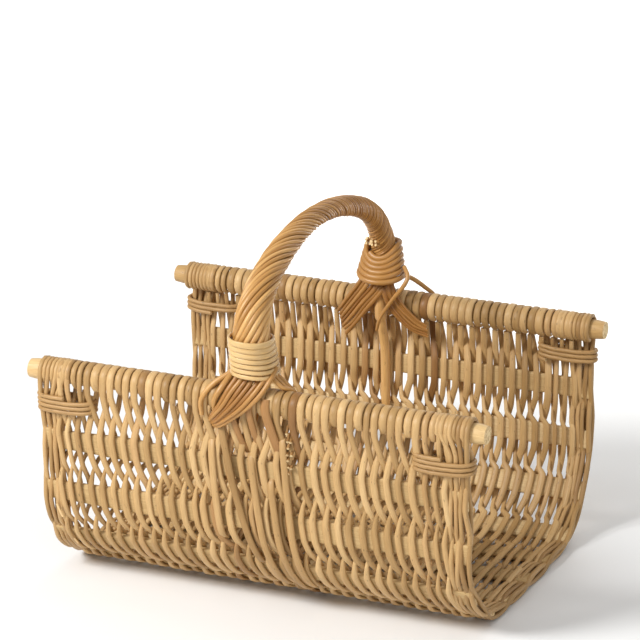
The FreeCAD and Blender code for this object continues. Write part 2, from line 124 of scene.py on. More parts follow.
ROD_INSET = WALL_HALF_WIDTH - ROD_Y     # the rod's middle lies this far inside the slats' line
print(f"half run {HALF_RUN * 1000:.1f} mm, slat pitch {SLAT_PITCH * 1000:.1f} mm")

# %% [markdown]
# ## One tool that lays rods
# A willow rod is a path with a section. A guide holds the path's points, the way its bark
# faces, its half width and half thickness at each point, and a tone that is its own. The
# Geometry Nodes tree turns every guide of a piece into a closed rod, flattened on its split
# side, and keeps the distances along and across it, so that the grain can follow it.

# %% The rod-laying tree
def rod_tree():
    tree = bpy.data.node_groups.new("lay_rods", "GeometryNodeTree")
    socket = tree.interface.new_socket
    socket("Guides", in_out="INPUT", socket_type="NodeSocketGeometry")
    socket("Sides", in_out="INPUT", socket_type="NodeSocketInt")
    socket("Split Side", in_out="INPUT", socket_type="NodeSocketFloat")
    socket("Squareness", in_out="INPUT", socket_type="NodeSocketFloat")
    socket("Bark", in_out="INPUT", socket_type="NodeSocketMaterial")
    socket("Cut", in_out="INPUT", socket_type="NodeSocketMaterial")
    socket("Rods", in_out="OUTPUT", socket_type="NodeSocketGeometry")
    nodes = tree.nodes
    links = tree.links
    given = nodes.new("NodeGroupInput")
    result = nodes.new("NodeGroupOutput")

    def math_node(operation, first, second=None):
        node = nodes.new("ShaderNodeMath")
        node.operation = operation
        for number, value in enumerate((first, second)):
            if value is None:
                continue
            if isinstance(value, (int, float)):
                node.inputs[number].default_value = value
            else:
                links.new(value, node.inputs[number])
        return node.outputs[0]

    def vector_node(operation, first, second=None, scale=None):
        node = nodes.new("ShaderNodeVectorMath")
        node.operation = operation
        links.new(first, node.inputs[0])
        if second is not None:
            links.new(second, node.inputs[1])
        if scale is not None:
            links.new(scale, node.inputs["Scale"])
        return node.outputs["Value" if operation == "DOT_PRODUCT" else "Vector"]

    def named(name, kind):
        node = nodes.new("GeometryNodeInputNamedAttribute")
        node.data_type = kind
        node.inputs["Name"].default_value = name
        return node.outputs["Attribute"]

    def store(geometry, name, kind, value):
        node = nodes.new("GeometryNodeStoreNamedAttribute")
        node.data_type = kind
        node.inputs["Name"].default_value = name
        links.new(geometry, node.inputs["Geometry"])
        links.new(value, node.inputs["Value"])
        return node.outputs["Geometry"]

    # the path of each rod, with its own facing
    curve = nodes.new("GeometryNodeMeshToCurve")
    links.new(given.outputs["Guides"], curve.inputs["Mesh"])
    turned = nodes.new("GeometryNodeSetCurveNormal")
    turned.mode = "FREE"
    links.new(curve.outputs["Curve"], turned.inputs["Curve"])
    links.new(named("facing", "FLOAT_VECTOR"), turned.inputs["Normal"])
    kept = nodes.new("GeometryNodeCaptureAttribute")
    kept.capture_items.new("VECTOR", "middle")
    kept.capture_items.new("VECTOR", "normal")
    kept.capture_items.new("VECTOR", "tangent")
    links.new(turned.outputs["Curve"], kept.inputs["Geometry"])
    links.new(nodes.new("GeometryNodeInputPosition").outputs[0], kept.inputs["middle"])
    links.new(nodes.new("GeometryNodeInputNormal").outputs[0], kept.inputs["normal"])
    links.new(nodes.new("GeometryNodeInputTangent").outputs[0], kept.inputs["tangent"])

    # the section: a ring pushed towards a square, and flattened on its split side
    ring = nodes.new("GeometryNodeCurvePrimitiveCircle")
    links.new(given.outputs["Sides"], ring.inputs["Resolution"])
    ring.inputs["Radius"].default_value = 1.0
    parts = nodes.new("ShaderNodeSeparateXYZ")
    links.new(nodes.new("GeometryNodeInputPosition").outputs[0], parts.inputs[0])
    pushed = []
    for axis in ("X", "Y"):
        size = math_node("POWER", math_node("ABSOLUTE", parts.outputs[axis]),
                         given.outputs["Squareness"])
        pushed.append(math_node("MULTIPLY", size, math_node("SIGN", parts.outputs[axis])))
    split = math_node("MULTIPLY", math_node("MINIMUM", pushed[0], 0.0),
                      given.outputs["Split Side"])
    crown = math_node("ADD", math_node("MAXIMUM", pushed[0], 0.0), split)
    joined = nodes.new("ShaderNodeCombineXYZ")
    links.new(crown, joined.inputs["X"])
    links.new(pushed[1], joined.inputs["Y"])
    section = nodes.new("GeometryNodeSetPosition")
    links.new(ring.outputs["Curve"], section.inputs["Geometry"])
    links.new(joined.outputs[0], section.inputs["Position"])

    swept = nodes.new("GeometryNodeCurveToMesh")
    swept.inputs["Fill Caps"].default_value = True
    links.new(kept.outputs["Geometry"], swept.inputs["Curve"])
    links.new(section.outputs["Geometry"], swept.inputs["Profile Curve"])

    # each rod's own width and thickness
    middle = kept.outputs["middle"]
    offset = vector_node("SUBTRACT", nodes.new("GeometryNodeInputPosition").outputs[0], middle)
    sideways = vector_node("CROSS_PRODUCT", kept.outputs["tangent"], kept.outputs["normal"])
    high = math_node("MULTIPLY", vector_node("DOT_PRODUCT", offset, kept.outputs["normal"]),
                     named("half_thickness", "FLOAT"))
    wide = math_node("MULTIPLY", vector_node("DOT_PRODUCT", offset, sideways),
                     named("half_width", "FLOAT"))
    shape = store(swept.outputs["Mesh"], "lateral", "FLOAT", wide)
    shape = store(shape, "depth", "FLOAT", high)
    moved = nodes.new("GeometryNodeSetPosition")
    links.new(shape, moved.inputs["Geometry"])
    lifted = vector_node("SCALE", kept.outputs["normal"], scale=named("depth", "FLOAT"))
    widened = vector_node("SCALE", sideways, scale=named("lateral", "FLOAT"))
    place = vector_node("ADD", vector_node("ADD", middle, lifted), widened)
    links.new(place, moved.inputs["Position"])

    # cut ends are the only faces with more than four corners
    corners = nodes.new("GeometryNodeCornersOfFace")
    is_end = math_node("GREATER_THAN", corners.outputs["Total"], 4.5)
    smooth = nodes.new("GeometryNodeSetShadeSmooth")
    links.new(moved.outputs["Geometry"], smooth.inputs["Geometry"])
    links.new(math_node("SUBTRACT", 1.0, is_end), smooth.inputs["Shade Smooth"])
    real = nodes.new("GeometryNodeRealizeInstances")
    links.new(smooth.outputs["Geometry"], real.inputs["Geometry"])
    bark = nodes.new("GeometryNodeSetMaterial")
    links.new(real.outputs["Geometry"], bark.inputs["Geometry"])
    links.new(given.outputs["Bark"], bark.inputs["Material"])
    cut = nodes.new("GeometryNodeSetMaterial")
    links.new(bark.outputs["Geometry"], cut.inputs["Geometry"])
    links.new(is_end, cut.inputs["Selection"])
    links.new(given.outputs["Cut"], cut.inputs["Material"])
    links.new(cut.outputs["Geometry"], result.inputs["Rods"])
    return tree


LAY_RODS = rod_tree()
print("rod-laying tree has", len(LAY_RODS.nodes), "nodes")

# %% Guides for the tree
class Guides:
    """The rods of one piece, before they are laid."""

    def __init__(self, seed):
        self.points = []
        self.edges = []
        self.values = {"facing": [], "half_width": [], "half_thickness": [], "along": [],
                       "tone": [], "warmth": []}
        self.random = np.random.default_rng(seed)

    def add(self, path, facing, half_width, half_thickness, warmth=0.0, tone=None):
        """One rod: its points, the way it faces at each, and its half width and thickness."""
        if tone is None:
            tone = float(self.random.random())
        path = np.asarray(path, float)
        count = len(path)
        tangent = np.gradient(path, axis=0)
        tangent /= np.linalg.norm(tangent, axis=1)[:, None]
        facing = np.asarray(facing, float) * np.ones((count, 3))
        facing = facing - (facing * tangent).sum(1)[:, None] * tangent
        facing /= np.linalg.norm(facing, axis=1)[:, None]
        first = len(self.points)
        self.edges += [(first + n, first + n + 1) for n in range(count - 1)]
        self.points += path.tolist()
        step = np.linalg.norm(np.diff(path, axis=0), axis=1)
        self.values["facing"] += facing.tolist()
        self.values["half_width"] += (np.ones(count) * half_width).tolist()
        self.values["half_thickness"] += (np.ones(count) * half_thickness).tolist()
        self.values["along"] += np.concatenate([[0], np.cumsum(step)]).tolist()
        self.values["tone"] += [tone] * count
        self.values["warmth"] += (np.ones(count) * warmth).tolist()


def lay(name, guides, bark, cut, sides=10, split_side=1.0, squareness=1.0):
    """Run the tree over the guides and keep its result as a plain mesh."""
    mesh = bpy.data.meshes.new(name + "_guides")
    mesh.from_pydata(guides.points, guides.edges, [])
    for key, values in guides.values.items():
        kind = "FLOAT_VECTOR" if key == "facing" else "FLOAT"
        attribute = mesh.attributes.new(key, kind, "POINT")
        flat = np.asarray(values, np.float32).ravel()
        attribute.data.foreach_set("vector" if key == "facing" else "value", flat)
    guide = bpy.data.objects.new(name + "_guides", mesh)
    bpy.context.scene.collection.objects.link(guide)
    modifier = guide.modifiers.new("lay rods", "NODES")
    modifier.node_group = LAY_RODS
    inputs = {item.name: item.identifier for item in LAY_RODS.interface.items_tree
              if item.in_out == "INPUT"}
    modifier[inputs["Sides"]] = sides
    modifier[inputs["Split Side"]] = split_side
    modifier[inputs["Squareness"]] = squareness
    modifier[inputs["Bark"]] = bark
    modifier[inputs["Cut"]] = cut
    bpy.context.view_layer.update()
    graph = bpy.context.evaluated_depsgraph_get()
    laid = bpy.data.meshes.new_from_object(guide.evaluated_get(graph))
    laid.name = name
    bpy.data.objects.remove(guide)
    piece = bpy.data.objects.new(name, laid)
    bpy.context.scene.collection.objects.link(piece)
    laid.calc_loop_triangles()
    print(f"{name}: {len(laid.loop_triangles)} triangles")
    return piece


def flowing(points, spacing, softness=0.5):
    """A smooth path through a rod's points, with a point about every spacing along it.

    A low softness keeps the runs straight and the bends tight. points may have further
    columns, such as a width, which flow in the same way."""
    points = np.asarray(points, float)
    padded = np.vstack([2 * points[0] - points[1], points, 2 * points[-1] - points[-2]])
    out = []
    for before, start, end, after in zip(padded, padded[1:], padded[2:], padded[3:]):
        pieces = max(1, int(round(np.linalg.norm((end - start)[:3]) / spacing)))
        t = (np.arange(pieces) / pieces)[:, None]
        leave = softness * (end - before)
        arrive = softness * (after - start)
        out.append((2 * t ** 3 - 3 * t ** 2 + 1) * start + (t ** 3 - 2 * t ** 2 + t) * leave
                   + (3 * t ** 2 - 2 * t ** 3) * end + (t ** 3 - t ** 2) * arrive)
    out.append(points[-1:])
    return np.vstack(out)

# %% [markdown]
# ## Willow, peeled and dried
# Split willow is tan, with long fibres, darker flecks and a little shine. Every rod has its
# own tone; the wood round the handle is browner and glossier. The grain is noise stretched
# along the rod by the distances that the tree kept, so it bends with the rod.

# %% Willow finish
def link_color(nodes, links, factor, dark, light):
    ramp = nodes.new("ShaderNodeValToRGB")
    ramp.color_ramp.elements[0].color = (*dark, 1)
    ramp.color_ramp.elements[1].color = (*light, 1)
    links.new(factor, ramp.inputs["Fac"])
    return ramp


def linear(red, green, blue):
    """A colour given as 0 to 255 screen values, as the linear light that shaders use."""
    def one(value):
        value = value / 255
        return value / 12.92 if value <= 0.04045 else ((value + 0.055) / 1.055) ** 2.4
    return one(red), one(green), one(blue)


def willow(name, tones, warm_tones, roughness, coat, grain=1.0):
    """A procedural willow finish; tones run from the darkest rod to the palest."""
    material = bpy.data.materials.new(name)
    material.use_nodes = True
    nodes = material.node_tree.nodes
    links = material.node_tree.links
    nodes.clear()
    output = nodes.new("ShaderNodeOutputMaterial")
    shader = nodes.new("ShaderNodeBsdfPrincipled")
    links.new(shader.outputs[0], output.inputs["Surface"])
    shader.inputs["Specular IOR Level"].default_value = 0.35
    shader.inputs["Coat Weight"].default_value = coat
    shader.inputs["Coat Roughness"].default_value = 0.35

    def attribute(key):
        node = nodes.new("ShaderNodeAttribute")
        node.attribute_name = key
        return node.outputs["Fac"]

    def arithmetic(operation, first, second):
        node = nodes.new("ShaderNodeMath")
        node.operation = operation
        for number, value in enumerate((first, second)):
            if isinstance(value, (int, float)):
                node.inputs[number].default_value = value
            else:
                links.new(value, node.inputs[number])
        return node.outputs[0]

    def noise(along_scale, across_scale, detail):
        """Noise in rod space: long along the rod, fine across it, and new for every tone."""
        place = nodes.new("ShaderNodeCombineXYZ")
        links.new(arithmetic("MULTIPLY", attribute("along"), along_scale), place.inputs["X"])
        links.new(arithmetic("MULTIPLY", attribute("lateral"), across_scale), place.inputs["Y"])
        shifted = arithmetic("MULTIPLY", attribute("depth"), across_scale)
        apart = arithmetic("MULTIPLY", attribute("tone"), 400.0)
        links.new(arithmetic("ADD", shifted, apart), place.inputs["Z"])
        node = nodes.new("ShaderNodeTexNoise")
        node.inputs["Scale"].default_value = 1.0
        node.inputs["Detail"].default_value = detail
        node.inputs["Roughness"].default_value = 0.6
        links.new(place.outputs[0], node.inputs["Vector"])
        return node.outputs["Fac"]

    def mixed(factor, first, second, blend="MIX"):
        node = nodes.new("ShaderNodeMix")
        node.data_type = "RGBA"
        node.blend_type = blend
        if isinstance(factor, (int, float)):
            node.inputs["Factor"].default_value = factor
        else:
            links.new(factor, node.inputs["Factor"])
        for key, value in (("A", first), ("B", second)):
            if isinstance(value, tuple):
                node.inputs[key].default_value = (*value, 1)
            else:
                links.new(value, node.inputs[key])
        return node.outputs["Result"]

    # one tone for each rod, drifting slowly along it
    drift = noise(9.0, 40.0, 2.0)
    own = arithmetic("ADD", arithmetic("MULTIPLY", attribute("tone"), 0.62),
                     arithmetic("MULTIPLY", drift, 0.55))
    own = arithmetic("SUBTRACT", own, 0.10)
    plain = link_color(nodes, links, own, tones[0], tones[-1])
    middle_tone = plain.color_ramp.elements.new(0.5)
    middle_tone.color = (*tones[1], 1)
    warm = link_color(nodes, links, own, *warm_tones)
    base = mixed(attribute("warmth"), plain.outputs["Color"], warm.outputs["Color"])

    # fibres and dark flecks
    fibres = noise(55.0, 1500.0 * grain, 3.0)
    contrast = nodes.new("ShaderNodeMapRange")
    contrast.inputs["From Min"].default_value = 0.35
    contrast.inputs["From Max"].default_value = 0.75
    contrast.inputs["To Max"].default_value = 0.55
    links.new(fibres, contrast.inputs["Value"])
    streaked = mixed(contrast.outputs[0], base, tones[0], "MULTIPLY")
    lightened = mixed(0.35, streaked, base)
    flecks = noise(160.0, 420.0, 1.0)
    spots = nodes.new("ShaderNodeMapRange")
    spots.inputs["From Min"].default_value = 0.70
    spots.inputs["From Max"].default_value = 0.78
    links.new(flecks, spots.inputs["Value"])
    dark = tuple(channel * 0.35 for channel in tones[0])
    spotted = mixed(arithmetic("MULTIPLY", spots.outputs[0], 0.6), lightened, dark)
    links.new(spotted, shader.inputs["Base Color"])

    rough = nodes.new("ShaderNodeMapRange")
    rough.inputs["To Min"].default_value = roughness - 0.10
    rough.inputs["To Max"].default_value = roughness + 0.12
    links.new(fibres, rough.inputs["Value"])
    links.new(rough.outputs[0], shader.inputs["Roughness"])
    raised = nodes.new("ShaderNodeBump")
    raised.inputs["Strength"].default_value = 0.5
    raised.inputs["Distance"].default_value = 0.0004
    links.new(fibres, raised.inputs["Height"])
    links.new(raised.outputs[0], shader.inputs["Normal"])
    return material


TAN = (linear(150, 114, 64), linear(198, 161, 107), linear(228, 194, 140))
HONEY = (linear(150, 102, 50), linear(206, 154, 88))
BROWN = (linear(116, 72, 30), linear(176, 120, 60))
WEAVE_WILLOW = willow("weave_willow", TAN, BROWN, roughness=0.50, coat=0.12)
HANDLE_WILLOW = willow("handle_willow",
                       (linear(166, 118, 56), linear(220, 172, 104), linear(246, 208, 144)),
                       (linear(134, 86, 34), linear(200, 144, 72)), roughness=0.36, coat=0.25)
PALE_STRIP = willow("split_willow", (linear(168, 130, 74), linear(204, 166, 106),
                                     linear(232, 198, 140)), HONEY, roughness=0.28, coat=0.45)
SLAT_WOOD = willow("slat_wood", (linear(180, 146, 94), linear(208, 178, 126),
                                 linear(232, 206, 158)), HONEY, roughness=0.6, coat=0.05,
                   grain=0.5)
ROD_WOOD = willow("rod_wood", (linear(172, 134, 80), linear(204, 168, 112),
                               linear(230, 200, 146)), HONEY, roughness=0.5, coat=0.15,
                  grain=0.5)
print("willow finishes made")

# %% [markdown]
# The cut end of a rod is paler than its bark. The ends are tiny, so soft blotches in object
# space are enough.

# %% Cut ends
def cut_end_finish():
    material = bpy.data.materials.new("cut_end")
    material.use_nodes = True
    nodes = material.node_tree.nodes
    links = material.node_tree.links
    shader = nodes["Principled BSDF"]
    place = nodes.new("ShaderNodeTexCoord")
    blotch = nodes.new("ShaderNodeTexNoise")
    blotch.inputs["Scale"].default_value = 420.0
    blotch.inputs["Detail"].default_value = 3.0
    links.new(place.outputs["Object"], blotch.inputs["Vector"])
    ramp = link_color(nodes, links, blotch.outputs["Fac"], linear(178, 140, 88),
                      linear(232, 206, 156))
    ramp.color_ramp.elements[0].position = 0.3
    ramp.color_ramp.elements[1].position = 0.6
    links.new(ramp.outputs["Color"], shader.inputs["Base Color"])
    rough = nodes.new("ShaderNodeMapRange")
    rough.inputs["To Min"].default_value = 0.6
    rough.inputs["To Max"].default_value = 0.9
    links.new(blotch.outputs["Fac"], rough.inputs["Value"])
    links.new(rough.outputs[0], shader.inputs["Roughness"])
    raised = nodes.new("ShaderNodeBump")
    raised.inputs["Strength"].default_value = 0.4
    raised.inputs["Distance"].default_value = 0.0004
    links.new(blotch.outputs["Fac"], raised.inputs["Height"])
    links.new(raised.outputs[0], shader.inputs["Normal"])
    return material


CUT_END = cut_end_finish()

# %% [markdown]
# ## Rim rods
# Each rim rod is a whole peeled rod, so it is never quite straight or quite round. It shows
# only at its cut ends; the strands hide the rest.

# %% Lay the rim rods
for rod_name, side in (("front_rim_rod", -1), ("back_rim_rod", 1)):
    rod = Guides(seed=11 + side)
    steps = np.linspace(-ROD_LENGTH / 2, ROD_LENGTH / 2, 60)
    wander = 0.0008 * np.sin(steps * 17 + side)
    path = np.column_stack([steps, side * ROD_Y + wander, ROD_Z + 0.6 * wander])
    if side < 0:
        taper = ROD_RADIUS * (1 - 0.05 * (steps / ROD_LENGTH + 0.5))
    else:
        taper = ROD_RADIUS * 0.94
    chamfer = np.ones(len(steps))
    chamfer[[0, -1]] = 0.9
    rod.add(path, (0, 0, 1), taper * chamfer, taper * chamfer * 0.97)
    piece = lay(rod_name + "_peeled", rod, ROD_WOOD, CUT_END, sides=24)
    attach(piece, "root")
    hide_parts(rod_name)

# %% [markdown]
# ## Slats
# The slats are split laths: flat, a little crowned, with edges that wave as the grain did
# when they were split.

# %% Lay the slats
SLAT_NAMES = ["front_upper_slat", "front_middle_slat", "front_corner_slat",
              "front_lower_corner_slat", "front_floor_slat", "floor_middle_slat",
              "back_floor_slat", "back_lower_corner_slat", "back_corner_slat",
              "back_middle_slat", "back_upper_slat"]


def slat_run(index):
    """Run of a slat's middle; the slats are numbered from the front rim to the back rim."""
    return FIRST_SLAT_RUN + SLAT_PITCH * index


for index, slat_name in enumerate(SLAT_NAMES):
    slat = Guides(seed=100 + index)
    across = np.linspace(3 * MM - SLAT_LENGTH / 2, SLAT_LENGTH / 2 - 3 * MM, 90)
    place, out = on_the_u(slat_run(index))
    waves = sum(slat.random.uniform(0.2, 0.6) * MM
                * np.sin(across * slat.random.uniform(12, 60) + slat.random.uniform(0, 6))
                for _ in range(3))
    path = np.column_stack([across, np.full(90, place[0]), np.full(90, place[1])])
    slat.add(path, (0, out[0], out[1]), SLAT_WIDTH / 2 - 0.8 * MM + waves,
             SLAT_THICKNESS / 2 + 0.15 * waves)
    piece = lay(slat_name + "_split", slat, SLAT_WOOD, CUT_END, sides=16, squareness=0.45)
    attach(piece, "root")
    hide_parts(slat_name)

# %% [markdown]
# ## The weave
# The strands work in pairs. At each slat one strand of a pair passes outside and the other
# behind; below the slat they cross, always the same way, and change places. So the outside
# strand leaves the slat slanting, and its partner comes up out of the gap as a pointed tip.
# A pair is two strands with the same X and opposite turns at every slat.

# %% Where a strand runs
PAIR_PITCH = 14.2 * MM
STRAND_HALF_WIDTH = 3.9 * MM
WRAP_HALF_WIDTH = 4.5 * MM        # a strand spreads where it is bent over the rim
STRAND_HALF_THICKNESS = 2.2 * MM
SLANT = 11.8 * MM                 # how far along X a strand moves to pass behind a slat
WRAP_PITCH = PAIR_PITCH * 2 / 3   # three wraps over the rim for every two pairs
PASS = SLAT_THICKNESS / 2 + STRAND_HALF_THICKNESS - 0.3 * MM
OVER_SLAT = (-11 * MM, 12 * MM)   # the stretch of run, from a slat's middle, that it crosses
STATION_SPACING = 5 * MM          # between a strand's mesh rings
SOFTNESS = 0.24                   # how softly a strand bends
HOOK_RADIUS = ROD_RADIUS + STRAND_HALF_THICKNESS


def hook(start_degrees, end_degrees, x, half_width, steps):
    """Points round the front rim rod, as run, outward, X and half width; 0 is outside."""
    angles = np.radians(np.linspace(start_degrees, end_degrees, steps))
    return [(-HOOK_RADIUS * math.sin(angle), -ROD_INSET + HOOK_RADIUS * math.cos(angle),
             x, half_width) for angle in angles]


def strand_stations(x, slant, outside_first, random, looseness, width):
    """Points of a strand between the rims, as run, outward, X and half width."""
    stations = []
    last = SLATS - 1
    nudge = random.normal(0, 0.7 * MM * looseness, SLATS)
    for index in range(SLATS):
        outside = (index % 2 == 0) == outside_first
        run = slat_run(index)
        here = x + nudge[index] + (0 if outside else slant)
        level = PASS if outside else -PASS
        lean = 1.5 * MM if outside else 0.0
        stations.append((run + OVER_SLAT[0], level, here - lean, width))
        stations.append((run + OVER_SLAT[1], level, here + lean, width))
        if index == last:
            break
        gap = SLAT_PITCH - 2 * OVER_SLAT[1]
        start = run + OVER_SLAT[1]
        below = x + nudge[index + 1]
        if outside:
            stations.append((start + 0.40 * gap, 3.2 * MM, here + 0.50 * slant, width))
            stations.append((start + 0.80 * gap, -2.8 * MM, below + 0.90 * slant, width))
        else:
            stations.append((start + 0.20 * gap, -3.2 * MM, below + 0.40 * slant, 0.7 * width))
            stations.append((start + 0.56 * gap, 2.6 * MM, below + 0.06 * slant, 0.6 * width))
    return stations


def mirrored_ends(points):
    """The same points at the back rim: run counted from the other end, in reverse order."""
    return [(2 * HALF_RUN - run, outward, x, width) for run, outward, x, width in points[::-1]]


def strand_facing(run, outward):
    """The way a strand's bark faces: away from the rim rod it is wrapped on, or outwards."""
    normal = on_the_u(run)[1]
    from_rim = min(run, 2 * HALF_RUN - run)
    away = np.array([outward + ROD_INSET, -from_rim])
    distance = np.linalg.norm(away)
    wrapped = distance < 1.15 * HOOK_RADIUS and not (away[0] > 0 and away[1] < 0)
    if not wrapped:
        return 0.0, normal[0], normal[1]
    away /= distance
    facing = normal * away[0] + np.array([0.0, 1.0]) * away[1]
    return 0.0, facing[0], facing[1]


def lay_path(guides, stations, spacing, half_thickness, warmth=0.0):
    """Turn stations into a flowing path on the basket and add it as a rod."""
    flat = flowing(np.array(stations), spacing, softness=SOFTNESS)
    every_twelfth = np.arange(0, len(flat) + 12, 12)
    bumps = np.interp(np.arange(len(flat)), every_twelfth,
                      guides.random.normal(0, 1, len(every_twelfth)))
    flat[:, 1] += 0.25 * MM * bumps
    path = np.array([basket_point(*row[:3]) for row in flat])
    path[:, 2] = np.maximum(path[:, 2], 1.15 * half_thickness)  # none goes under the ground
    out = [strand_facing(run, outward) for run, outward, _, _ in flat]
    widths = flat[:, 3] * (1 + 0.05 * bumps)
    guides.add(path, np.array(out), widths, half_thickness * (1 + 0.06 * bumps), warmth)


def strand(guides, x, slant, outside_first, rim_x, short_wrap_x, looseness, width, warmth):
    """One strand from rim to rim. A strand that passes behind the first slat hooks over the
    rim; its partner ends just inside the rim. A short wrap is a rod of its own over each rim,
    and looks like the partner's end."""
    stations = strand_stations(x, slant, outside_first, guides.random, looseness, width)
    wrap_width = width * WRAP_HALF_WIDTH / STRAND_HALF_WIDTH
    if not outside_first:
        start = hook(250, 0, rim_x, wrap_width, steps=9)
        start.append((16 * MM, -ROD_INSET + 0.96 * HOOK_RADIUS, rim_x + 0.12 * (x - rim_x),
                      width))
        start.append((42 * MM, 2.6 * MM, x + 0.62 * slant + 0.3 * (rim_x - x), 0.95 * width))
    else:
        start = [(17.5 * MM, -ROD_INSET - 0.1 * HOOK_RADIUS, x + 0.40 * slant, 0.8 * width),
                 (32 * MM, -5.5 * MM, x + 0.30 * slant, 0.9 * width),
                 (46 * MM, 1.5 * MM, x + 0.12 * slant, 0.95 * width)]
    if short_wrap_x is not None:
        wrap = hook(-52, 252, short_wrap_x, wrap_width, steps=11)
        for rod in (wrap, mirrored_ends(wrap)):
            lay_path(guides, rod, STATION_SPACING, STRAND_HALF_THICKNESS, warmth)
    stations = start + stations + mirrored_ends(start)
    lay_path(guides, stations, STATION_SPACING, STRAND_HALF_THICKNESS, warmth)


# %% [markdown]
# The field has regular pairs. Under the handle the strands are stouter and looser and some
# are browner, because the ends of the roping are worked in there. At both ends of the basket
# the pairs close up, and eight plain rods finish the edge.

# %% Weave the basket
EDGE_PAIRS = 3
EDGE_PITCH = 11.6 * MM
EDGE_RODS = 8                     # in pairs: one lies outside a slat, the other inside it
EDGE_ROD_PITCH = 4.9 * MM         # on the rim
EDGE_ROD_HALF_WIDTH = 2.75 * MM
FIELD_PAIRS = 28
FIELD_START = -FIELD_PAIRS / 2 * PAIR_PITCH
MIDDLE_HALF_WIDTH = 56 * MM
MIDDLE_PAIRS = slice(13, 21)
EDGE_SLANT = 0.55                 # a pair at the edge slants less


def pair_places():
    """X, slant and a kind for every pair, from left to right."""
    places = []
    for number in range(EDGE_PAIRS):
        x = FIELD_START - (EDGE_PAIRS - number - 0.2) * EDGE_PITCH
        places.append((x, EDGE_SLANT, "edge"))
    for number in range(FIELD_PAIRS):
        x = FIELD_START + (number + 0.28) * PAIR_PITCH
        places.append((x, 1.0, "middle" if abs(x) < MIDDLE_HALF_WIDTH else "field"))
    for number in range(EDGE_PAIRS):
        x = -FIELD_START + (number + 0.45) * EDGE_PITCH
        places.append((x, EDGE_SLANT, "edge"))
    return places


def weave(name, pairs, seed, nodes, edge_side=0, extra=None):
    """Weave some of the pairs as one piece; extra adds its own rods to them."""
    guides = Guides(seed)
    random = guides.random
    for number, (x, reach, kind) in pairs:
        slant = SLANT * reach
        even = number % 2 == 0
        apart = EDGE_PITCH if kind == "edge" else PAIR_PITCH
        unit = x if even else x - apart
        pitch = WRAP_PITCH * apart / PAIR_PITCH
        loose = {"edge": 0.7, "field": 1.0, "middle": 2.4}[kind]
        width = STRAND_HALF_WIDTH * {"edge": 0.80, "field": 1.0, "middle": 1.05}[kind]
        rim = unit + 1.0 * MM + (0 if even else 2 * pitch)
        wrap = unit + 1.0 * MM + pitch
        if not even or wrap > WEAVE_END - EDGE_RODS * EDGE_ROD_PITCH:
            wrap = None
        for outside_first in (False, True):
            own = width * random.uniform(0.9, 1.07)
            warm = 0.0
            if kind == "middle" and random.random() < 0.20:
                warm = random.uniform(0.2, 0.7)
            elif random.random() < 0.10:
                warm = random.uniform(0.15, 0.45)
            strand(guides, x, slant, outside_first, rim + random.normal(0, 0.3 * MM),
                   wrap if outside_first else None, loose, own, warm)
    for number in range(EDGE_RODS if edge_side else 0):
        edge_rod(guides, edge_side, number)
    if extra:
        extra(guides)
    piece = lay(name, guides, WEAVE_WILLOW, CUT_END, sides=10, split_side=0.75, squareness=0.8)
    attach(piece, "root")
    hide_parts(*nodes)


def edge_rod(guides, side, number):
    """A plain round rod that finishes the end of the basket, hooked over both rims."""
    random = guides.random
    over = side * (WEAVE_END - 3.4 * MM - EDGE_ROD_PITCH * number)
    pair, partner = divmod(number, 2)
    below = side * (WEAVE_END - 3.2 * MM - 6.6 * MM * pair - 1.4 * MM * partner)
    thick = EDGE_ROD_HALF_WIDTH * random.uniform(0.85, 1.05)
    stations = hook(250, 0, over, thick, steps=9)
    for run in np.arange(24 * MM, 2 * HALF_RUN - 20 * MM, 30 * MM):
        wave = math.sin(run / (2 * SLAT_PITCH) * 2 * math.pi + number * math.pi)
        stations.append((run, 4.6 * MM * wave, below + random.normal(0, 0.9 * MM), thick))
    stations += mirrored_ends(hook(250, 0, over, thick, steps=9))
    lay_path(guides, stations, 6 * MM, thick * 0.9, warmth=0.1 * (number % 3))


def wall_rod(guides, stations, half_width, half_thickness, warmth=0.0, tone=None):
    """A rod given as run, outward and X in mm; it lies on the front wall."""
    flat = flowing(np.array(stations, float) * MM, 4 * MM)
    path = [basket_point(*row) for row in flat]
    out = [(0.0, *on_the_u(max(row[0], 0))[1]) for row in flat]
    guides.add(path, out, half_width * MM, half_thickness * MM, warmth, tone)


def splinters(guides):
    """Two pale slivers that stand off the left of the front wall."""
    wall_rod(guides, [(150, 9.5, -237), (157, 11, -233), (163, 12, -230)], 1.4, 0.7, tone=1.4)
    wall_rod(guides, [(196, 9, -226), (201, 11, -222)], 1.1, 0.7, tone=1.2)


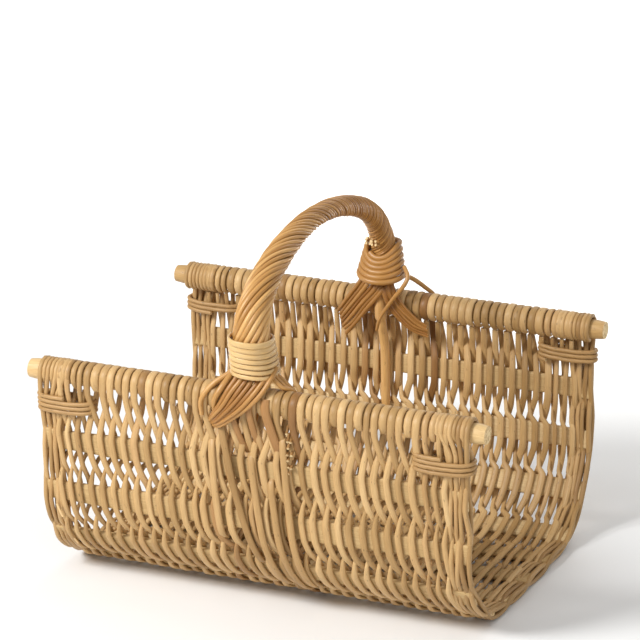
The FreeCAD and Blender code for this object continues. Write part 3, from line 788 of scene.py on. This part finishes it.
def middle_rods(guides):
    """Rods of the middle: a column of small ends, tucked handle ends and long strands."""
    random = guides.random
    for row in range(7):
        for column in range(2 if row % 2 else 1):
            run = 27 + 7.6 * row + random.normal(0, 0.6)
            x = 47 + 3.9 * column + random.normal(0, 0.5)
            stations = [(run - 5, -2, x - 3), (run - 2, 4, x - 1.2), (run, 9.2, x)]
            wall_rod(guides, stations, 1.7, 1.6, warmth=0.5)
    # handle ends that are tucked in under the rim
    for x, drift, deep, width in ((2, 6, 40, 4.0), (22, 12, 50, 5.4), (-21, 12, 46, 3.6)):
        stations = [(-9, 5.5, x - 1), (4, 9, x), (0.6 * deep, 7.5, x + 0.6 * drift),
                    (deep, 2.5, x + drift), (deep + 12, -4, x + 1.3 * drift)]
        wall_rod(guides, stations, width, 2.2, warmth=0.75, tone=0.6)
    # long strands that lie over the others and drift to the right
    for x, drift, first, last in ((-31, 36, 34, 176), (3, 24, 70, 214), (41, 17, 46, 212),
                                  (-44, 8, 60, 150), (26, 22, 96, 224)):
        middle = (first + last) / 2
        stations = [(first - 12, 1, x - 2), (first, 7.5, x), (middle, 9.5, x + 0.42 * drift),
                    (last, 7.5, x + drift), (last + 14, -1, x + 1.1 * drift)]
        wall_rod(guides, stations, 4.2, 2.0, warmth=0.1)


numbered = list(enumerate(pair_places(), start=EDGE_PAIRS % 2))
field_nodes = [f"field_strands_{number:02d}" for number in range(1, 15)]
weave("weave_left_edge", numbered[:EDGE_PAIRS], 21, ["left_edge_strands"], edge_side=-1)
weave("weave_left_field", numbered[EDGE_PAIRS:MIDDLE_PAIRS.start], 22, field_nodes[:5],
      extra=splinters)
weave("weave_middle", numbered[MIDDLE_PAIRS], 23, field_nodes[5:9], extra=middle_rods)
weave("weave_right_field", numbered[MIDDLE_PAIRS.stop:-EDGE_PAIRS], 24, field_nodes[9:])
weave("weave_right_edge", numbered[-EDGE_PAIRS:], 25, ["right_edge_strands"], edge_side=1)

# %% [markdown]
# ## The handle
# A stout bow stands inside the walls and carries the handle. Sixteen whole rods are laid
# round it and twisted: slowly on the thick front leg and quickly on the thin back one, because
# willow rods taper and the maker starts every rod at the front.

# %% The handle's middle line
# Y, Z, the radius over the roping, and how far the roping goes for one full turn, in mm
BOW_POINTS = [
    (-181, 117, 9, 190), (-180, 167, 9, 190), (-175, 199, 9, 190), (-164, 227, 12, 190),
    (-162, 253, 17, 190), (-172, 274, 20, 190), (-182.5, 295, 21, 190),
    (-186, 313, 20.8, 190), (-181, 338, 19.4, 190), (-163.5, 361, 17.8, 180),
    (-137.8, 378, 16.4, 165), (-104, 391, 15, 150), (-72, 399, 13.8, 135),
    (-36, 404, 12.6, 120), (0, 404, 12, 105), (36, 400, 12, 92), (68, 393, 12.2, 84),
    (100, 383, 12.5, 78), (128, 370, 13, 74), (151, 353, 13.6, 72), (167, 332, 14.4, 72),
    (176, 309, 14.8, 72), (174, 285, 14.6, 74), (167, 265, 14, 78), (166, 239, 12, 80),
    (172, 213, 9, 80), (179, 182, 9, 80), (181, 117, 9, 80)]
ROPING_RODS = 16
ROPING_FROM = 277 * MM            # the roping starts and ends inside the whippings

HANDLE_SPACING = 3.5 * MM         # between the mesh rings of a rod on the handle

rows = flowing(np.array([(0, y, z, reach, pitch) for y, z, reach, pitch in BOW_POINTS]) * MM,
               HANDLE_SPACING)
bow_path, bow_reach, bow_pitch = rows[:, :3], rows[:, 3], rows[:, 4]
bow_heading = np.gradient(bow_path, axis=0)
bow_heading /= np.linalg.norm(bow_heading, axis=1)[:, None]
bow_away = np.cross((1.0, 0.0, 0.0), bow_heading)
steps = np.concatenate([[0], np.linalg.norm(np.diff(bow_path, axis=0), axis=1)])
bow_twist = np.cumsum(steps / bow_pitch) * 2 * math.pi
print(f"handle line {steps.sum() * 1000:.0f} mm, {bow_twist[-1] / 2 / math.pi:.1f} turns")

# %% Bow and roping
bow = Guides(seed=41)
feet = np.concatenate([[0.82, 0.9], np.ones(len(rows) - 4), [0.9, 0.82]])
feet = feet * np.where(bow_path[:, 2] < 227 * MM, 0.78, 1.0)
bow.add(bow_path, bow_away, 0.9 * BOW_RADIUS * feet, 0.86 * BOW_RADIUS * feet, warmth=0.4)
piece = lay("handle_bow_rod", bow, HANDLE_WILLOW, CUT_END, sides=16)
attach(piece, "root")
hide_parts("handle_bow")

roping = Guides(seed=42)
roped = bow_path[:, 2] > ROPING_FROM
rod_middles = bow_reach - 2.5 * MM
lean = np.arctan(2 * math.pi * rod_middles / bow_pitch)
browning = np.interp(np.linspace(0, 1, len(rows)), (0.2, 0.45, 0.6, 0.9), (0.0, 0.45, 0.8, 0.4))
for number in range(ROPING_RODS):
    angle = bow_twist + 2 * math.pi * number / ROPING_RODS
    wander = 0.05 * np.sin(bow_twist * 0.7 + 5 * number)
    half = math.pi * rod_middles * np.cos(lean) / ROPING_RODS
    half = half * roping.random.uniform(1.0, 1.12)
    ring = bow_reach - half + roping.random.uniform(-0.5, 0.3) * MM
    away = bow_away * np.cos(angle + wander)[:, None] \
        + np.array([1.0, 0, 0]) * np.sin(angle + wander)[:, None]
    path = bow_path + away * ring[:, None]
    warmth = browning + 0.2 * roping.random.random()
    roping.add(path[roped], away[roped], half[roped], half[roped] * 0.95,
               warmth=warmth[roped])
piece = lay("handle_roping_rods", roping, HANDLE_WILLOW, CUT_END, sides=9)
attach(piece, "root")
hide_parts("handle_roping")

# %% [markdown]
# ## Whippings
# At the front the handle is bound with nearly seven level turns of a flat, glossy split
# strip. At the back a round rod is wound nearly six times, and its turns sag towards the
# inside of the basket. Small rod ends stand up out of the back one.

# %% Wind the whippings
WOUND_STEPS = 40                  # in one turn


def wound(turns, levels, half_widths, half_depths, middles, sags, boxy):
    """A path wound round the handle; each pair holds a value at the bottom and at the top."""
    share = np.linspace(0, 1, int(turns * WOUND_STEPS))
    angle = 2 * math.pi * turns * share

    def between(pair):
        return (pair[0] + (pair[1] - pair[0]) * share) * MM

    def squared(value):
        return np.sign(value) * np.abs(value) ** boxy

    x = between(half_widths) * squared(np.sin(angle))
    y = between(middles) + between(half_depths) * squared(np.cos(angle))
    sag = -between(sags) * np.maximum(0, -np.cos(angle)) ** 1.3
    path = np.column_stack([x, y, between(levels) + sag])
    away = np.column_stack([np.sin(angle) / between(half_widths),
                            np.cos(angle) / between(half_depths), np.zeros(len(share))])
    return path, away, share


strip = Guides(seed=51)
path, away, share = wound(6.75, levels=(274, 318), half_widths=(25, 22.8),
                          half_depths=(25, 23.5), middles=(-175, -186.5), sags=(0, 0),
                          boxy=0.85)
strip.add(path, away, (2.3 + 1.1 * share) * MM, 1.5 * MM)
piece = lay("front_whipping_strip", strip, PALE_STRIP, CUT_END, sides=10, squareness=0.6)
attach(piece, "root")
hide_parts("front_whipping")

rod = Guides(seed=52)
path, away, share = wound(5.6, levels=(281, 322), half_widths=(27, 18.5),
                          half_depths=(24, 17.5), middles=(167, 175.5), sags=(4, 17),
                          boxy=0.95)
rod.add(path, away, 3.3 * MM, 3.0 * MM, warmth=0.6, tone=0.3)
for number in range(12):
    row, column = divmod(number, 4)
    foot = np.array([-11 + 4.2 * column, 163 - 1.5 * column, 319 + 4.0 * row])
    foot = foot + rod.random.normal(0, 0.7, 3)
    tip = foot + (-2.5, -6, 2.5)
    rod.add(flowing(np.array([foot, tip]) * MM, 3 * MM), (1, 0, 0), 1.7 * MM, 1.7 * MM)
piece = lay("back_whipping_rod", rod, HANDLE_WILLOW, CUT_END, sides=12)
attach(piece, "root")
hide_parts("back_whipping")

# %% [markdown]
# ## Tails
# Under each whipping the roping ends fan out over the rim in flat bundles and are tucked into
# the weave. The outer rods of a bundle are drawn here as two curves, and the rods between
# them are shared out evenly.

# %% Lay the tails
def bundle(guides, first, last, rods, half_width, warmth, layer=0.0, tone=0.3):
    """Rods side by side from one curve to another; the curves are lists of points in mm."""
    first = np.array(first, float) * MM
    last = np.array(last, float) * MM
    for number in range(rods):
        share = number / max(1, rods - 1)
        points = first + (last - first) * share
        points += guides.random.normal(0, 0.35 * MM, points.shape)
        points[:, 1] += layer * MM * (number % 2)
        path = flowing(points, HANDLE_SPACING)
        end = np.minimum(1, np.linspace(1.15, 0.75, len(path)))
        guides.add(path, (0, -1, 0.3), half_width * MM * end * guides.random.uniform(0.92, 1.08),
                   half_width * MM * end * 0.92, warmth * guides.random.uniform(0.6, 1.2),
                   tone * guides.random.uniform(0.5, 1.5))


def tail_piece(name, node, guides):
    piece = lay(name, guides, HANDLE_WILLOW, CUT_END, sides=9)
    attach(piece, "root")
    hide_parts(node)


tail = Guides(seed=61)
bundle(tail, [(-13, -178, 287), (-14, -190, 274), (-22, -200, 260), (-31, -204, 244),
              (-40, -203, 230), (-46, -196, 223)],
       [(25, -178, 285), (24, -191, 274), (15, -201, 257), (-3, -205, 239),
        (-28, -203, 220), (-40, -196, 215)], 7, 2.6, 0.75, layer=-1.4, tone=0.25)
bundle(tail, [(-20, -172, 283), (-28, -182, 272), (-42, -192, 261), (-53, -200, 245),
              (-54, -198, 227)],
       [(-18, -172, 283), (-24, -186, 271), (-30, -198, 261), (-36, -203, 249),
        (-39, -199, 235)], 2, 3.6, 0.15)
tail_piece("front_left_tail_rods", "front_left_tail", tail)

tail = Guides(seed=62)
bundle(tail, [(12, -172, 283), (24, -174, 276), (38, -172, 264), (48, -165, 247),
              (50, -166, 227)],
       [(14, -184, 281), (25, -186, 274), (35, -184, 265), (43, -176, 261), (52, -166, 247)],
       3, 2.4, 0.4)
tail_piece("front_right_tail_rods", "front_right_tail", tail)

tail = Guides(seed=63)
bundle(tail, [(-18, 168, 287), (-22, 158, 274), (-36, 160, 256), (-49, 163, 239),
              (-55, 170, 231)],
       [(8, 166, 277), (5, 157, 264), (-12, 159, 244), (-30, 162, 221), (-43, 163, 206)],
       7, 2.7, 0.9, layer=1.2, tone=0.1)
tail_piece("back_left_tail_rods", "back_left_tail", tail)

tail = Guides(seed=64)
bundle(tail, [(14, 168, 285), (18, 158, 273), (27, 159, 256), (44, 162, 237), (59, 164, 228)],
       [(3, 168, 277), (6, 157, 266), (15, 158, 245), (37, 161, 223), (60, 164, 215)],
       6, 2.1, 0.9, layer=1.0, tone=0.1)
bundle(tail, [(26, 172, 283), (33, 184, 275), (44, 194, 264), (54, 200, 251), (58, 199, 232)],
       [(26, 172, 283), (33, 184, 275), (44, 194, 264), (54, 200, 251), (58, 199, 232)],
       1, 2.6, 0.2)
tail_piece("back_right_tail_rods", "back_right_tail", tail)

tail = Guides(seed=65)
crossing = [(30, 166, 295), (38, 158, 287), (33, 153, 275), (20, 152, 257), (4, 154, 233),
            (-2, 160, 217)]
bundle(tail, crossing, crossing, 1, 2.7, 0.5)
tail_piece("handle_cross_rod_bent", "handle_cross_rod", tail)

# %% [markdown]
# ## Lashings
# A thin rod is wound round the strands at each end of both walls, just under the rim.

# %% Wind the lashings
LASHING_STEPS = 44                # in one turn
LASHING_HALF_WIDTH = 33.5 * MM
LASHING_HALF_DEPTH = 11.5 * MM
LASHING_PITCH = 5.3 * MM


def lashing(name, node, seed, wall, end, turns, drop):
    """Turns of thin rod; wall is -1 for the front and +1 for the back, end is -1 or +1."""
    guides = Guides(seed)
    share = np.linspace(0, 1, int(turns * LASHING_STEPS))
    angle = 2 * math.pi * turns * share + math.pi / 2
    middle_x = end * (WEAVE_END - 32 * MM)
    path = []
    away = []
    for part, turn in zip(share, angle):
        across = math.cos(turn)
        deep = math.sin(turn)
        x = middle_x + LASHING_HALF_WIDTH * math.copysign(abs(across) ** 0.7, across)
        outward = -2.5 * MM + LASHING_HALF_DEPTH * math.copysign(abs(deep) ** 0.7, deep)
        sag = 1.6 * MM * (1 - across ** 2)
        run = drop * MM + (part - 0.5) * turns * LASHING_PITCH + sag
        run = run if wall < 0 else 2 * HALF_RUN - run
        path.append(basket_point(run, outward, x))
        normal = on_the_u(run)[1]
        away.append((across * 0.5, normal[0] * deep, normal[1] * deep))
    path = np.array(path) + guides.random.normal(0, 0.12 * MM, (len(path), 3))
    guides.add(path, np.array(away) + 1e-6, 2.5 * MM, 2.3 * MM, warmth=0.2, tone=0.3)
    piece = lay(name, guides, WEAVE_WILLOW, CUT_END, sides=9)
    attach(piece, "root")
    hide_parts(node)


lashing("front_left_lashing_rod", "front_left_lashing", 71, -1, -1, 3.6, 32)
lashing("front_right_lashing_rod", "front_right_lashing", 72, -1, 1, 3.4, 36)
lashing("back_left_lashing_rod", "back_left_lashing", 73, 1, -1, 2.5, 34)
lashing("back_right_lashing_rod", "back_right_lashing", 74, 1, 1, 3.4, 34)

# %% [markdown]
# ## Stage, light and camera
# The basket stands on a plain pale floor in soft light: one broad light high on the left,
# weak ones on the right and behind, one that brightens the floor far behind, and a pale
# surround.

# %% Stage and light
def pale_floor():
    bpy.ops.mesh.primitive_plane_add(size=8, location=(0, 0, 0))
    floor = bpy.context.object
    floor.name = "studio_floor"
    material = bpy.data.materials.new("studio_floor")
    material.use_nodes = True
    shader = material.node_tree.nodes["Principled BSDF"]
    shader.inputs["Base Color"].default_value = (0.86, 0.86, 0.85, 1)
    shader.inputs["Roughness"].default_value = 0.9
    floor.data.materials.append(material)


def soft_light(name, place, target, size, power, spread=math.pi):
    data = bpy.data.lights.new(name, "AREA")
    data.shape = "DISK"
    data.size = size
    data.energy = power
    data.spread = spread
    lamp = bpy.data.objects.new(name, data)
    bpy.context.scene.collection.objects.link(lamp)
    lamp.location = place
    aim = Vector(target) - Vector(place)
    lamp.rotation_euler = aim.to_track_quat("-Z", "Y").to_euler()


pale_floor()
soft_light("key", (-1.3, -1.8, 1.9), (0, 0, 0.2), 1.0, 78)
soft_light("fill", (1.9, -1.2, 1.1), (0, 0, 0.2), 1.5, 9)
soft_light("back", (0.2, 1.8, 1.6), (0, 0, 0.2), 1.4, 10)
soft_light("floor", (0, 3.2, 2.2), (0, 3.6, 0), 2.6, 220, math.radians(120))
world = bpy.data.worlds.new("surround")
world.use_nodes = True
world.node_tree.nodes["Background"].inputs["Color"].default_value = (1, 1, 1, 1)
world.node_tree.nodes["Background"].inputs["Strength"].default_value = 0.45
bpy.context.scene.world = world
bpy.context.scene.view_settings.view_transform = "Standard"

# %% Camera
AZIMUTH = math.radians(24.15)
ELEVATION = math.radians(18.8)
ROLL = math.radians(-0.47)
DISTANCE = 3.956
LENS = 196.9
TARGET = np.array([0, 0, 0.112])
SHIFT_RIGHT = -0.0038
SHIFT_UP = 0.158
back = np.array([math.sin(AZIMUTH) * math.cos(ELEVATION),
                 -math.cos(AZIMUTH) * math.cos(ELEVATION), math.sin(ELEVATION)])
level = np.array([math.cos(AZIMUTH), math.sin(AZIMUTH), 0])
rising = np.cross(back, level)
right = level * math.cos(ROLL) + rising * math.sin(ROLL)
up = -level * math.sin(ROLL) + rising * math.cos(ROLL)
place = back * DISTANCE + right * SHIFT_RIGHT + up * SHIFT_UP + TARGET
camera_data = bpy.data.cameras.new("camera")
camera_data.lens = LENS
camera_data.sensor_width = 36
camera_data.clip_end = 50
camera = bpy.data.objects.new("camera", camera_data)
bpy.context.scene.collection.objects.link(camera)
camera.matrix_world = Matrix((
    (right[0], up[0], back[0], place[0]),
    (right[1], up[1], back[1], place[1]),
    (right[2], up[2], back[2], place[2]),
    (0, 0, 0, 1)))
bpy.context.scene.camera = camera
